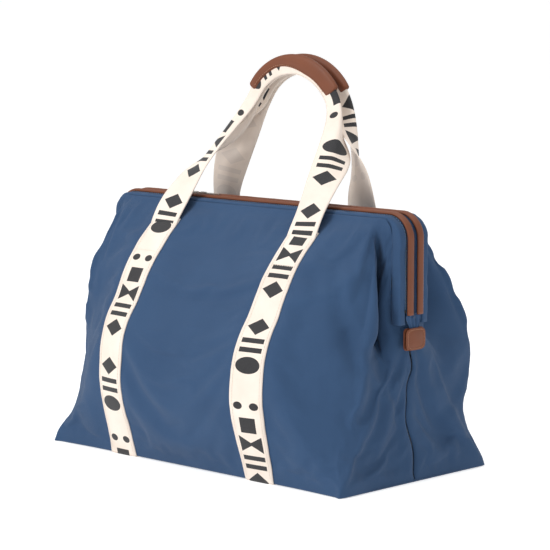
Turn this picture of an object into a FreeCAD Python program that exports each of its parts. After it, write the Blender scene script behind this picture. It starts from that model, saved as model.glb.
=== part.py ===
"""Weekender diaper bag with a hinged doctor-bag frame, two carrying handles and a two-way zip.

The bag stands on its base with +Z up, +X along its length and the front face towards -Y.
The origin is on the floor plane under the middle of the bag. All sizes are in millimetres.

Construction, from the outside in:
- a base panel, a front and a rear body panel that meet in a seam at the middle of each end;
- two continuous webbing loops that run under the base, up both faces and over as the handles;
- two U-shaped spring-steel frames in fabric sleeves, pinned together low down at each end;
- leather piping and a zip along both frames, closed at each end by a folded leather tab;
- a base board and a lining with two slip pockets.
The body panels are one piece of cloth each. They are cut in two nodes at FOLD_Z, because the cloth
above that line folds when the frames swing open, and the cloth below it stays put.
"""

import FreeCAD
import Part
import math
import os

V = FreeCAD.Vector

# ---- Driving dimensions -------------------------------------------------------------------
BASE_LENGTH = 548.0
BASE_DEPTH = 280.0
FRAME_TOP_Z = 350.0
FRAME_HALF = 272.0  # half the frame's outer length
CORNER_R = 32.0  # the frame's top corners, at its outer edge
PIVOT_Z = 212.0
FOLD_Z = 185.0  # below this the cloth never moves
CLOTH = 1.6
LINING = 0.8
AIR = 0.1  # gap between layers that lie on each other

# body cross-sections: height, half length, half depth at the ends, half depth in the middle
LOWER = [
    (3.4, 273.0, 138.0, 140.0),
    (50.0, 268.0, 118.0, 163.0),
    (107.0, 266.0, 110.0, 173.0),
    (FOLD_Z, 264.0, 108.0, 158.0),
]
UPPER = [
    (FOLD_Z + 0.4, 264.0, 108.0, 158.0),
    (212.0, 247.0, 104.0, 144.0),
    (250.0, 246.0, 95.0, 122.0),
    (290.0, 245.0, 78.0, 95.0),
    (312.0, 242.0, 52.0, 68.0),
    (331.5, 234.0, 30.0, 38.0),
]
END_BULGE = 2.5

# webbing and handles
WEB_WIDTH = 50.0
WEB_THICK = 1.6
WEB_X = 130.0
STRAP_FREE_Z = 315.0  # the webbing is sewn to the panel up to here
GRIP_HALF = 75.0
GRIP_END_Z = 493.0
GRIP_RISE = 42.0
GRIP_WEB = 25.0  # the webbing is folded in half in the grip
HANDLE_PIVOT_Y = 64.0
HANDLE_PIVOT_Z = 318.0
FRONT_GRIP_Y = 58.0
REAR_GRIP_Y = 80.0

# the frame's band, seen in section: y away from the zip, s outwards from the frame's outer edge
TEETH = (1.0, 3.4, -3.4, -1.0)
TAPE = (3.4, 14.0, -2.6, -1.8)
PIPING = (4.0, 15.0, -1.7, 0.8)
SLEEVE = (15.2, 29.0, -18.0, -2.0)
SLEEVE_WALL = 1.5
BAR = (17.0, 27.0, -11.0, -9.0)
BAND_END_Z = {"teeth": 214.0, "tape": 218.0, "piping": 220.0, "sleeve": 222.0, "bar": 225.0}

# hinge at each end of the frames
EAR_R = 8.0
EAR_THICK = 2.0
EAR_GAP = 0.3
RIVET_R = 3.0
RIVET_CLEARANCE = 0.05
RIVET_HEAD_R = 5.5

# zip sliders, meeting behind the left front strap
SLIDER_MEET_X = -125.0
SLIDER_LENGTH = 14.0
SLIDER_HALF_WIDTH = 3.6
PLATE = 1.8
SLIDER_AIR = 0.4
PULL_LENGTH = 26.0
PULL_WIDTH = 7.0
PULL_THICK = 1.4
CROWN_HEIGHT = 3.6

# leather end tab
TAB_HALF = 19.0
TAB_Z = (174.0, 203.0)
TAB_LEAF = 2.0
TAIL_HALF = 9.0
TAIL_Z = (190.0, 210.0)
TAIL_X = (270.5, 272.0)


def box(x, y, z):
    """A box from three (low, high) pairs."""
    return Part.makeBox(x[1] - x[0], y[1] - y[0], z[1] - z[0], V(x[0], y[0], z[0]))


def arc(a, b, c):
    return Part.Arc(V(*a), V(*b), V(*c)).toShape()


# ---- Soft body ----------------------------------------------------------------------------
def ring(section, inset):
    """One closed cross-section of the body: four arcs, moved inwards by inset."""
    z, length, ends, middle = section
    x, c, d = length - inset, ends - inset, middle - inset
    e = x + END_BULGE
    return Part.Wire(
        [
            arc((-x, -c, z), (0, -d, z), (x, -c, z)),
            arc((x, -c, z), (e, 0, z), (x, c, z)),
            arc((x, c, z), (0, d, z), (-x, c, z)),
            arc((-x, c, z), (-e, 0, z), (-x, -c, z)),
        ]
    )


def body(sections, inset):
    return Part.makeLoft([ring(s, inset) for s in sections], True, False)


def shell(sections, outer, inner):
    """The cloth between two insets, open at the top and the bottom."""
    return body(sections, outer).cut(body(sections, inner))


def half(shape, side):
    """The part of a shape in front of (side -1) or behind (side +1) the end seams."""
    near, far = AIR, 400.0
    y = (near, far) if side > 0 else (-far, -near)
    return shape.common(box((-400, 400), y, (-10, 700)))


def body_panels(nodes):
    for name, side in (("front", -1), ("rear", 1)):
        nodes[name + "_panel_lower"] = half(shell(LOWER, 0, CLOTH), side)
        nodes[name + "_panel_upper"] = half(shell(UPPER, 0, CLOTH), side)


def base_plate(inset, z0, z1):
    """A flat plate inside the body's lowest cross-section."""
    z, length, ends, middle = LOWER[0]
    face = Part.Face(ring((z0, length, ends, middle), inset))
    return face.extrude(V(0, 0, z1 - z0))


def base_and_lining(nodes):
    cloth_top = LOWER[0][0] - AIR
    board_low = LOWER[0][0] + 0.2
    board_top = board_low + 2.5
    floor_low = board_top + 0.3
    nodes["base_panel"] = base_plate(0, WEB_THICK + AIR, cloth_top)
    nodes["base_board"] = base_plate(7.0, board_low, board_top)
    inset = CLOTH + 1.4
    cup = shell(LOWER, inset, inset + LINING).common(
        box((-400, 400), (-400, 400), (floor_low + LINING, FOLD_Z))
    )
    nodes["lining_lower"] = cup
    nodes["lining_floor"] = base_plate(8.0, floor_low, floor_low + LINING)
    for name, side in (("front", -1), ("rear", 1)):
        nodes["lining_upper_" + name] = half(shell(UPPER, inset, inset + LINING), side)


def pockets(nodes):
    """Open-topped slip pockets, sewn to the lining of both faces."""
    inset = CLOTH + 1.4 + LINING + 0.4
    sheet = shell(LOWER, inset, inset + LINING)
    for name, side, half_width, top in (("front", -1, 120.0, 160.0), ("rear", 1, 160.0, 145.0)):
        window = box((-half_width, half_width), (0, 400), (45.0, top))
        if side < 0:
            window = window.mirror(V(0, 0, 0), V(0, 1, 0))
        nodes[name + "_slip_pocket"] = sheet.common(window)


# ---- Webbing ------------------------------------------------------------------------------
def sewn_straps(nodes):
    """Four straps up the faces, each cut at the fold line, and two runs under the base."""
    lower = shell(LOWER, -AIR - WEB_THICK, -AIR)
    upper = shell(UPPER, -AIR - WEB_THICK, -AIR)
    for face, y in (("front", (-400, 0)), ("rear", (0, 400))):
        for hand, x in (("left", -WEB_X), ("right", WEB_X)):
            lane = (x - WEB_WIDTH / 2, x + WEB_WIDTH / 2)
            low = box(lane, y, (LOWER[0][0], FOLD_Z))
            high = box(lane, y, (FOLD_Z, STRAP_FREE_Z))
            nodes[f"{face}_strap_{hand}_lower"] = lower.common(low)
            nodes[f"{face}_strap_{hand}_upper"] = upper.common(high)
    for hand, x in (("left", -WEB_X), ("right", WEB_X)):
        lane = (x - WEB_WIDTH / 2, x + WEB_WIDTH / 2)
        nodes["base_strap_" + hand] = box(lane, (-BASE_DEPTH / 2, BASE_DEPTH / 2), (0, WEB_THICK))


def rectangle(centre, across, through, width, thick):
    """A rectangle round a centre, width along the vector across, thick along through."""
    c, a, t = V(*centre), V(*across), V(*through)
    a.normalize()
    t.normalize()
    a, t = a * (width / 2), t * (thick / 2)
    return Part.makePolygon([c - a - t, c + a - t, c + a + t, c - a + t, c - a - t])


def grip_arc_band(inner, outer, y, half_thick):
    """A flat band that follows the grip's arch, between two offsets from its centreline."""
    radius = (GRIP_HALF**2 + GRIP_RISE**2) / (2 * GRIP_RISE)
    centre_z = GRIP_END_Z + GRIP_RISE - radius
    angle = math.asin(GRIP_HALF / radius)

    def at(r, a):
        return (r * math.sin(a), y - half_thick, centre_z + r * math.cos(a))

    low, high = radius + inner, radius + outer
    edges = [
        arc(at(high, -angle), at(high, 0), at(high, angle)),
        Part.LineSegment(V(*at(high, angle)), V(*at(low, angle))).toShape(),
        arc(at(low, angle), at(low, 0), at(low, -angle)),
        Part.LineSegment(V(*at(low, -angle)), V(*at(high, -angle))).toShape(),
    ]
    return Part.Face(Part.Wire(edges)).extrude(V(0, 2 * half_thick, 0)), angle


def handle(nodes, face, pivot_y, grip_y):
    """Two free webs, the folded webbing of the grip, and the leather sewn round it."""
    core, angle = grip_arc_band(-GRIP_WEB / 2, GRIP_WEB / 2 - 3.0, grip_y, 2.0)
    wrap, _ = grip_arc_band(-2.0, GRIP_WEB / 2, grip_y, 4.0)
    slot, _ = grip_arc_band(-3.0, GRIP_WEB / 2 - 3.0 + AIR, grip_y, 2.0 + AIR)
    nodes[face + "_grip_webbing"] = core
    nodes[face + "_grip_leather"] = wrap.cut(slot)
    start_lift = 2.0
    lean = V(0, grip_y - pivot_y, GRIP_END_Z - HANDLE_PIVOT_Z)
    through = (0, lean.z, -lean.y)
    middle = (GRIP_WEB / 2 - 3.0 - GRIP_WEB / 2) / 2
    for hand, sign in (("left", -1), ("right", 1)):
        outward = (math.cos(angle) * sign, 0, -math.sin(angle))
        along = (math.sin(angle) * sign, 0, math.cos(angle))
        end = (
            sign * GRIP_HALF + outward[0] * 0.3 + along[0] * middle,
            grip_y,
            GRIP_END_Z + outward[2] * 0.3 + along[2] * middle,
        )
        foot = rectangle(
            (sign * WEB_X, pivot_y, HANDLE_PIVOT_Z + start_lift),
            (1, 0, 0),
            through,
            WEB_WIDTH,
            WEB_THICK,
        )
        across = tuple(sign * v for v in along)
        top = rectangle(end, across, (0, 1, 0), GRIP_WEB - 4.0, 3.6)
        nodes[f"{face}_handle_web_{hand}"] = Part.makeLoft([foot, top], True, True)


# ---- Frame, piping and zip ----------------------------------------------------------------
def u_outline(s, bottom):
    """The frame's U at offset s from its outer edge, from the left foot to the right foot."""
    x, top, r = FRAME_HALF + s, FRAME_TOP_Z + s, CORNER_R + s
    k = r * (1 - math.cos(math.pi / 4))
    return [
        Part.LineSegment(V(-x, 0, bottom), V(-x, 0, top - r)).toShape(),
        arc((-x, 0, top - r), (-x + k, 0, top - k), (-x + r, 0, top)),
        Part.LineSegment(V(-x + r, 0, top), V(x - r, 0, top)).toShape(),
        arc((x - r, 0, top), (x - k, 0, top - k), (x, 0, top - r)),
        Part.LineSegment(V(x, 0, top - r), V(x, 0, bottom)).toShape(),
    ]


def band(section, bottom, side):
    """A U-shaped band of rectangular section on one side of the zip."""
    y0, y1, s0, s1 = section
    x0, x1 = FRAME_HALF + s0, FRAME_HALF + s1
    feet = [
        Part.LineSegment(V(x1, 0, bottom), V(x0, 0, bottom)).toShape(),
        Part.LineSegment(V(-x0, 0, bottom), V(-x1, 0, bottom)).toShape(),
    ]
    wire = Part.Wire(Part.__sortEdges__(u_outline(s0, bottom) + u_outline(s1, bottom) + feet))
    solid = Part.Face(wire).extrude(V(0, y1 - y0, 0))
    solid.translate(V(0, y0, 0))
    return solid if side > 0 else solid.mirror(V(0, 0, 0), V(0, 1, 0))


def ear(side, hand, x0):
    """The flat hinge lug at one foot of one frame bar, drilled for the rivet."""
    y0, y1, z = BAR[0], BAR[1], BAND_END_Z["bar"]
    outline = [
        (side * y1, z + 11),
        (side * y0, z + 11),
        (side * y0, z - 4),
        (0, PIVOT_Z + EAR_R),
        (0, PIVOT_Z - EAR_R),
        (side * y1, z - 3),
        (side * y1, z + 11),
    ]
    plate = Part.Face(Part.makePolygon([V(x0, y, zz) for y, zz in outline]))
    plate = plate.extrude(V(EAR_THICK, 0, 0))
    boss = Part.makeCylinder(EAR_R, EAR_THICK, V(x0, 0, PIVOT_Z), V(1, 0, 0))
    hole_r = RIVET_R + RIVET_CLEARANCE
    hole = Part.makeCylinder(hole_r, EAR_THICK + 2, V(x0 - 1, 0, PIVOT_Z), V(1, 0, 0))
    lug = plate.fuse(boss).cut(hole)
    return lug if hand > 0 else lug.mirror(V(0, 0, 0), V(1, 0, 0))


def ear_x(side):
    """Where a lug starts: the front frame's lugs lie inside its bar, the rear frame's outside."""
    bar = (FRAME_HALF + BAR[2], FRAME_HALF + BAR[3])
    return bar[0] - EAR_GAP - EAR_THICK if side < 0 else bar[1] + EAR_GAP


def frame_bar(side):
    bar = band(BAR, BAND_END_Z["bar"], side)
    x0 = ear_x(side)
    low, high = FRAME_HALF + BAR[2], FRAME_HALF + BAR[3]
    joggle = (x0 + EAR_THICK, low) if side < 0 else (high, x0)
    y = sorted((side * BAR[0], side * BAR[1]))
    z = (BAND_END_Z["bar"] + 3, BAND_END_Z["bar"] + 11)
    block = box((joggle[0] - 0.5, joggle[1] + 0.5), y, z)
    for hand in (-1, 1):
        bar = bar.fuse(ear(side, hand, x0))
        bar = bar.fuse(block if hand > 0 else block.mirror(V(0, 0, 0), V(1, 0, 0)))
    return bar.removeSplitter()


def sleeve(side):
    y0, y1, s0, s1 = SLEEVE
    w = SLEEVE_WALL
    outer = band(SLEEVE, BAND_END_Z["sleeve"], side)
    inner = band((y0 + w, y1 - w, s0 + w, s1 - w), BAND_END_Z["sleeve"] - 1, side)
    return outer.cut(inner)


def frames_and_zip(nodes):
    for name, side in (("front", -1), ("rear", 1)):
        nodes[name + "_frame_bar"] = frame_bar(side)
        nodes[name + "_frame_sleeve"] = sleeve(side)
        nodes[name + "_piping"] = band(PIPING, BAND_END_Z["piping"], side)
        nodes[name + "_zip_tape"] = band(TAPE, BAND_END_Z["tape"], side)
        nodes[name + "_zip_teeth"] = band(TEETH, BAND_END_Z["teeth"], side)


def hinge(nodes, name, hand):
    """One rivet through both lugs, with a spacer washer between them."""
    inner = ear_x(-1) - 0.2
    outer = ear_x(1) + EAR_THICK + 0.2
    head = 1.6
    shank = Part.makeCylinder(RIVET_R, outer - inner, V(inner, 0, PIVOT_Z), V(1, 0, 0))
    heads = [
        Part.makeCylinder(RIVET_HEAD_R, head, V(x, 0, PIVOT_Z), V(1, 0, 0))
        for x in (inner - head, outer)
    ]
    rivet = shank.fuse(heads).removeSplitter()
    gap = 0.2
    x0 = ear_x(-1) + EAR_THICK + gap
    x1 = ear_x(1) - gap
    washer = Part.makeCylinder(EAR_R - 1, x1 - x0, V(x0, 0, PIVOT_Z), V(1, 0, 0))
    bore = Part.makeCylinder(RIVET_R + RIVET_CLEARANCE, x1 - x0, V(x0, 0, PIVOT_Z), V(1, 0, 0))
    washer = washer.cut(bore)
    if hand < 0:
        rivet = rivet.mirror(V(0, 0, 0), V(1, 0, 0))
        washer = washer.mirror(V(0, 0, 0), V(1, 0, 0))
    nodes[name + "_hinge_rivet"] = rivet
    nodes[name + "_hinge_washer"] = washer


def rounded_leaf(x0, x1, inset, radius):
    """A square leaf with rounded corners, standing at one end of the bag."""
    y, (z0, z1) = TAB_HALF - inset, TAB_Z
    leaf = box((x0, x1), (-y, y), (z0 + inset, z1 - inset))
    edges = [e for e in leaf.Edges if abs(e.tangentAt(e.FirstParameter).x) > 0.9]
    return leaf.makeFillet(radius, edges)


def end_tab(nodes, name, hand):
    """A leather tab folded over the zip's tail, and the tail of tape itself."""
    x0, x1 = TAIL_X
    tail = box(TAIL_X, (-TAIL_HALF, TAIL_HALF), TAIL_Z)
    outer = rounded_leaf(x1 + AIR, x1 + AIR + TAB_LEAF, 0, 5.0)
    inner = rounded_leaf(x0 - AIR - TAB_LEAF, x0 - AIR, 0, 5.0)
    filler = box((x0, x1), (-TAIL_HALF, TAIL_HALF), (TAB_Z[0] + 3, TAIL_Z[0] - AIR))
    for part, solid in (
        ("zip_tail", tail),
        ("tab_outer", outer),
        ("tab_inner", inner),
        ("tab_stiffener", filler),
    ):
        nodes[f"{name}_{part}"] = solid if hand > 0 else solid.mirror(V(0, 0, 0), V(1, 0, 0))


def slider(nodes, name, centre, hand):
    """A zip slider with its crown, and the pull that hangs in the crown."""
    x = (centre - SLIDER_LENGTH / 2, centre + SLIDER_LENGTH / 2)
    y = (-SLIDER_HALF_WIDTH, SLIDER_HALF_WIDTH)
    teeth_low, teeth_top = FRAME_TOP_Z + TEETH[2], FRAME_TOP_Z + TEETH[3]
    top_low, bottom_top = teeth_top + SLIDER_AIR, teeth_low - SLIDER_AIR
    top = box(x, y, (top_low, top_low + PLATE))
    bottom = box(x, y, (bottom_top - PLATE, bottom_top))
    neck = box((centre - 2, centre + 2), (-0.6, 0.6), (bottom_top - 0.5, top_low + 0.5))
    crown_z = top_low + PLATE
    arch = box((centre - 5, centre + 5), (-1.2, 1.2), (crown_z - 0.5, crown_z + CROWN_HEIGHT))
    window = box((centre - 3.6, centre + 3.6), (-2, 2), (crown_z, crown_z + CROWN_HEIGHT - 1.0))
    nodes[name + "_zip_slider"] = top.fuse([bottom, neck, arch.cut(window)]).removeSplitter()
    pin_x = centre + hand * 2.0
    pin_z = crown_z + 1.3
    far = pin_x + hand * PULL_LENGTH
    low, high = sorted((pin_x - hand * 1.0, far))
    plate_z = (pin_z - PULL_THICK / 2, pin_z + PULL_THICK / 2)
    plate = box((low, high), (-PULL_WIDTH / 2, PULL_WIDTH / 2), plate_z)
    slot_x = sorted((pin_x + hand * 1.0, centre + hand * 7.6))
    slot = box(slot_x, (-1.7, 1.7), (pin_z - 3, pin_z + 3))
    nodes[name + "_zip_pull"] = plate.cut(slot)


# ---- Build --------------------------------------------------------------------------------
def build():
    nodes = {}
    body_panels(nodes)
    base_and_lining(nodes)
    pockets(nodes)
    sewn_straps(nodes)
    handle(nodes, "front", -HANDLE_PIVOT_Y, FRONT_GRIP_Y)
    handle(nodes, "rear", HANDLE_PIVOT_Y, REAR_GRIP_Y)
    frames_and_zip(nodes)
    for name, hand in (("left", -1), ("right", 1)):
        hinge(nodes, name, hand)
        end_tab(nodes, name, hand)
        gap = SLIDER_LENGTH / 2 + 1.0
        slider(nodes, name, SLIDER_MEET_X + hand * gap, hand)
    return nodes


def main():
    os.makedirs("parts", exist_ok=True)
    for name, solid in build().items():
        solid.exportStep(f"parts/{name}.step")
        state = "ok" if solid.isValid() else "INVALID"
        print(f"{name}: {len(solid.Solids)} solid, {solid.Volume / 1000:.1f} cm3, {state}")


main()
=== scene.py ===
import math

import bmesh
import bpy
import numpy as np
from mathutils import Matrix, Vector, noise
from mathutils.bvhtree import BVHTree


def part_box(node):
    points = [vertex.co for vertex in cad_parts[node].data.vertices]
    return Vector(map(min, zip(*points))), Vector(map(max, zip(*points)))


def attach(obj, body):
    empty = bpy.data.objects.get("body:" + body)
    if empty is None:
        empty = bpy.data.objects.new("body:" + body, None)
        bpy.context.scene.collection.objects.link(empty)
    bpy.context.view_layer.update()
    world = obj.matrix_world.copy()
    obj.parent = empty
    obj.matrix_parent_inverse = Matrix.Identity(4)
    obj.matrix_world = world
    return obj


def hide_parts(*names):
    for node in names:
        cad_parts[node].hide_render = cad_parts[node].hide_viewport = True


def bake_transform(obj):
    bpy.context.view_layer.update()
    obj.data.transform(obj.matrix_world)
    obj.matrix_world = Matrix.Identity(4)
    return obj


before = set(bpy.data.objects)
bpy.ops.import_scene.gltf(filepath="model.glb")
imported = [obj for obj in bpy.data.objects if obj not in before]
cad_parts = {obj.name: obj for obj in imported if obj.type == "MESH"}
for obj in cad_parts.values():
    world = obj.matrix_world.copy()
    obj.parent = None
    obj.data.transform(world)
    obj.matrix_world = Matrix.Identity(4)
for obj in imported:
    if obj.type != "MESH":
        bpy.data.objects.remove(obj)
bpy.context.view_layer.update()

MM = 0.001

# ---- Driving values, in millimetres ----
FRAME_TOP = 350.0
FRAME_HALF = 272.0
FRAME_CORNER = 32.0
WEB_WIDTH = 50.0
WEB_THICK = 1.5
WEB_X = 130.0
GRIP_HALF = 75.0
GRIP_END_Z = 493.0
GRIP_RISE = 42.0
PIVOT_Y = 64.0
PIVOT_Z = 318.0
GRIP_Y = {"front": 58.0, "rear": 80.0}
SIDES = {"front": -1, "rear": 1}

# The body's cross-section, from the end seam round to the middle of the face. Each row is a
# height, five (x, depth) points, and the depth at x = 200, 130, 65 and 0.
FRONT_SKIN = [
    (1.0, (274, 0), (274, 35), (274, 80), (275, 141), (258, 143), 141, 141, 141, 141),
    (20, (271, 0), (271, 32), (271, 75), (272, 131), (255, 139), 142, 146, 148, 149),
    (43, (268, 0), (267, 30), (266, 70), (268, 120), (250, 135), 145, 153, 156, 157),
    (79, (265, 0), (263, 30), (262, 65), (266, 103), (246, 126), 147, 163, 168, 169),
    (107, (265, 0), (262, 30), (260, 62), (265, 98), (244, 122), 147, 167, 173, 174),
    (137, (265, 0), (262, 28), (259, 60), (264, 97), (243, 121), 144, 165, 171, 172),
    (169, (267, 0), (262, 28), (256, 58), (261, 99), (241, 119), 139, 159, 165, 166),
    (195, (269, 1), (261, 28), (250, 56), (256, 102), (238, 117), 131, 147, 153, 154),
    (215, (269, 5), (258, 28), (243, 55), (250, 104), (233, 115), 123, 132, 138, 139),
    (235, (257, 25), (252, 33), (237, 57), (247, 104), (229, 111), 115, 122, 125, 126),
    (255, (256, 26), (250, 34), (233, 58), (246, 101), (227, 105), 107, 111, 113, 114),
    (285, (256, 26), (248, 34), (231, 56), (244, 84), (224, 88), 88, 89, 90, 90),
    (310, (256, 26), (247, 33), (232, 46), (241, 60), (222, 62), 63, 66, 66, 66),
    (325, (256, 28), (248, 31), (238, 38), (236, 45), (218, 48), 48, 50, 49, 49),
    (335, (255, 30), (246, 31), (236, 33), (228, 35), (214, 36), 36, 36, 36, 36),
    (345, (246, 30), (238, 30), (230, 30), (222, 30), (210, 30), 30, 30, 30, 30),
]
# The rear corners stand fuller: height -> corner, the turn beside it, depth at x = 200.
REAR_CORNERS = {
    20: ((272, 133), (255, 139), 142),
    43: ((268, 127), (250, 139), 146),
    79: ((267, 119), (247, 134), 150),
    107: ((267, 122), (246, 135), 151),
    137: ((266, 128), (245, 138), 150),
    169: ((262, 131), (242, 139), 145),
    195: ((255, 132), (238, 138), 140),
    215: ((249, 129), (233, 133), 133),
    235: ((247, 118), (229, 122), 122),
    255: ((246, 107), (227, 111), 112),
}

# At the front's right end the cloth tucks in deep beside the frame's arm:
# height -> seam, arm, hollow, corner, turn.
TUCKED_CORNERS = {
    137: ((265, 0), (261, 22), (257, 48), (263, 82), (247, 113)),
    169: ((266, 0), (256, 22), (244, 42), (260, 76), (246, 107)),
    195: ((268, 1), (250, 22), (206, 36), (261, 54), (248, 92)),
    215: ((269, 5), (240, 26), (182, 35), (260, 50), (247, 88)),
    235: ((257, 25), (238, 28), (178, 35), (258, 48), (245, 84)),
    255: ((256, 26), (239, 28), (184, 35), (255, 46), (242, 79)),
    285: ((256, 26), (244, 29), (206, 36), (251, 44), (238, 67)),
    310: ((256, 26), (248, 30), (234, 37), (244, 46), (226, 57)),
}
# The rear's hollow beside its arm, at both ends.
REAR_HOLLOWS = {195: (230, 46), 215: (206, 44), 235: (194, 43), 255: (196, 43), 285: (212, 42)}

# Folds in the cloth: points along the fold, its half width, its height (minus is a valley).
FRONT_FOLDS = [
    ([(216, -96, 290), (232, -102, 225), (250, -92, 165), (262, -62, 128)], 11, -10),
    ([(246, -58, 292), (226, -88, 268), (196, -116, 246)], 10, 4),
    ([(262, -66, 165), (266, -34, 120), (267, -14, 70)], 9, -7),
    ([(240, -128, 120), (258, -104, 80), (268, -60, 30)], 12, -4),
    ([(222, -100, 285), (232, -118, 225), (246, -118, 165)], 13, 5),
    ([(262, -52, 150), (266, -20, 105), (266, -8, 60)], 9, -4),
    ([(258, -90, 190), (262, -55, 140), (266, -15, 125)], 10, 4),
    ([(-205, -116, 240), (-238, -118, 165), (-255, -112, 95)], 12, -4),
    ([(-150, -60, 320), (-190, -100, 262), (-225, -112, 215)], 14, 4),
    ([(205, -56, 322), (212, -98, 268), (206, -124, 222)], 12, -4),
    ([(-104, -50, 324), (-98, -92, 284), (-92, -120, 240)], 9, -3),
    ([(-156, -50, 324), (-164, -88, 284)], 8, -3),
    ([(100, -50, 324), (94, -90, 284)], 9, -3),
    ([(30, -152, 196), (-20, -168, 150), (-60, -172, 120)], 22, -2.2),
    ([(200, -145, 110), (225, -136, 60), (250, -134, 24)], 16, 3),
]
REAR_FOLDS = [
    ([(248, 118, 236), (262, 92, 190), (266, 44, 148)], 10, -9),
    ([(266, 116, 168), (264, 70, 122), (268, 26, 96)], 9, 5),
    ([(266, 124, 140), (264, 90, 98), (269, 40, 62)], 10, -6),
    ([(246, 80, 292), (238, 100, 270)], 8, -6),
    ([(268, 20, 78), (267, 40, 60)], 7, -3),
    ([(271, 84, 8), (269, 82, 52)], 7, 3),
    ([(-250, 125, 240), (-262, 100, 180), (-266, 60, 120)], 12, -6),
    ([(180, 84, 288), (205, 110, 240)], 14, -4),
    ([(-180, 84, 288), (-205, 110, 240)], 14, -4),
    ([(40, 160, 150), (-30, 168, 110)], 24, -3),
]


# ---- Mesh helpers ----
def spline(values, knots, t):
    """A smooth curve through values at the knots, sampled at t."""
    values, knots, t = np.asarray(values, float), np.asarray(knots, float), np.asarray(t, float)
    slope = np.gradient(values, knots, axis=0)
    i = np.clip(np.searchsorted(knots, t, side="right") - 1, 0, len(knots) - 2)
    step = knots[i + 1] - knots[i]
    shape = (-1,) + (1,) * (values.ndim - 1)
    s = ((t - knots[i]) / step).reshape(shape)
    step = step.reshape(shape)
    return (
        (2 * s**3 - 3 * s**2 + 1) * values[i]
        + (s**3 - 2 * s**2 + s) * step * slope[i]
        + (3 * s**2 - 2 * s**3) * values[i + 1]
        + (s**3 - s**2) * step * slope[i + 1]
    )


def full_turn(count):
    """Evenly spaced angles round a circle."""
    return np.linspace(0, 2 * math.pi, count, endpoint=False)


def squared(value, power):
    """Pulls a sine or cosine outwards, so that a circle becomes a soft square."""
    return np.sign(value) * np.abs(value) ** power


def smooth(a, b, x):
    s = np.clip((np.asarray(x, float) - a) / (b - a), 0, 1)
    return s * s * (3 - 2 * s)


def unit(v):
    return v / np.maximum(np.linalg.norm(v, axis=-1, keepdims=True), 1e-9)


def distance_along(points):
    """How far each point lies along the line through them all."""
    return np.linalg.norm(np.diff(points, axis=0, prepend=points[:1]), axis=1).cumsum()


def grid_normals(p):
    return unit(np.cross(np.gradient(p, axis=1), np.gradient(p, axis=0)))


def add_mesh(name, verts, faces, material, uvs=None, slots=None, shade=True):
    """A mesh object from points in millimetres. slots gives each face's material slot."""
    mesh = bpy.data.meshes.new(name)
    mesh.from_pydata([tuple(v) for v in np.asarray(verts) * MM], [], faces)
    for m in material if isinstance(material, (list, tuple)) else [material]:
        mesh.materials.append(m)
    if uvs is not None:
        layer = mesh.uv_layers.new(name="UVMap")
        index = np.empty(len(mesh.loops), int)
        mesh.loops.foreach_get("vertex_index", index)
        layer.data.foreach_set("uv", (np.asarray(uvs)[index] * MM).astype(np.float32).ravel())
    if slots is not None:
        mesh.polygons.foreach_set("material_index", np.asarray(slots, np.int32))
    if shade:
        mesh.polygons.foreach_set("use_smooth", [True] * len(mesh.polygons))
    obj = bpy.data.objects.new(name, mesh)
    bpy.context.collection.objects.link(obj)
    mesh.update()
    return obj


def grid_faces(grid):
    """The four-sided faces between neighbouring points of a sheet."""
    rows, cols = grid.shape[:2]
    ids = np.arange(rows * cols).reshape(rows, cols)
    quads = (ids[:-1, :-1], ids[:-1, 1:], ids[1:, 1:], ids[1:, :-1])
    return np.stack([q.ravel() for q in quads], 1).tolist()


def cloth_solid(name, grid, thick, material, uv=None, inner_side=1):
    """A sheet of points as a closed piece of cloth. Slot 0 is its outer face, slot 1 its back."""
    rows, cols = grid.shape[:2]
    back = grid - grid_normals(grid) * thick * inner_side
    count = rows * cols
    verts = np.concatenate([grid.reshape(-1, 3), back.reshape(-1, 3)])
    ids = np.arange(count).reshape(rows, cols)
    outer = np.array(grid_faces(grid))
    inner = outer[:, ::-1] + count
    edge = np.concatenate([ids[0, :], ids[1:, -1], ids[-1, -2::-1], ids[-2:0:-1, 0]])
    after = np.roll(edge, -1)
    rim = np.stack([after, edge, edge + count, after + count], 1)
    faces = np.concatenate([outer, inner, rim])
    if inner_side < 0:
        faces = faces[:, ::-1]
    slots = [0] * len(outer) + [1] * len(inner) + [0] * len(rim)
    if uv is None:
        du = np.linalg.norm(np.diff(grid, axis=1, prepend=grid[:, :1]), axis=2).cumsum(1)
        dv = np.linalg.norm(np.diff(grid, axis=0, prepend=grid[:1]), axis=2).cumsum(0)
        uv = np.stack([du, dv], 2)
    uvs = np.concatenate([uv.reshape(-1, 2)] * 2)
    mats = material if isinstance(material, (list, tuple)) else [material, material]
    obj = add_mesh(name, verts, faces.tolist(), mats, uvs, slots)
    outward(obj)
    return obj


def tube(name, rings, material):
    """A closed section carried along a path: rings is (stations, points round, 3)."""
    n, m = rings.shape[:2]
    faces = ring_faces(0, n, m)
    run = distance_along(rings.mean(1))
    girth = np.linalg.norm(rings[0] - np.roll(rings[0], 1, 0), axis=1).cumsum()
    uv = np.stack([np.tile(girth, (n, 1)), np.tile(run[:, None], (1, m))], 2).reshape(-1, 2)
    obj = add_mesh(name, rings.reshape(-1, 3), faces, material, uv)
    outward(obj)
    return obj


def outward(obj):
    """Turns every face of a closed mesh to point out of it."""
    bm = bmesh.new()
    bm.from_mesh(obj.data)
    bmesh.ops.recalc_face_normals(bm, faces=bm.faces)
    bm.to_mesh(obj.data)
    bm.free()


# A stitch: how far along it, how thick and how far lifted off the cloth, as shares.
STITCH_PROFILE = (
    (0.0, 0.35, 0.0), (0.18, 0.9, 0.55), (0.5, 1.0, 0.75), (0.82, 0.9, 0.55), (1.0, 0.35, 0.0),
)
THREAD_SIDES = 6
FIRST_STITCH = 0.4


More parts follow.
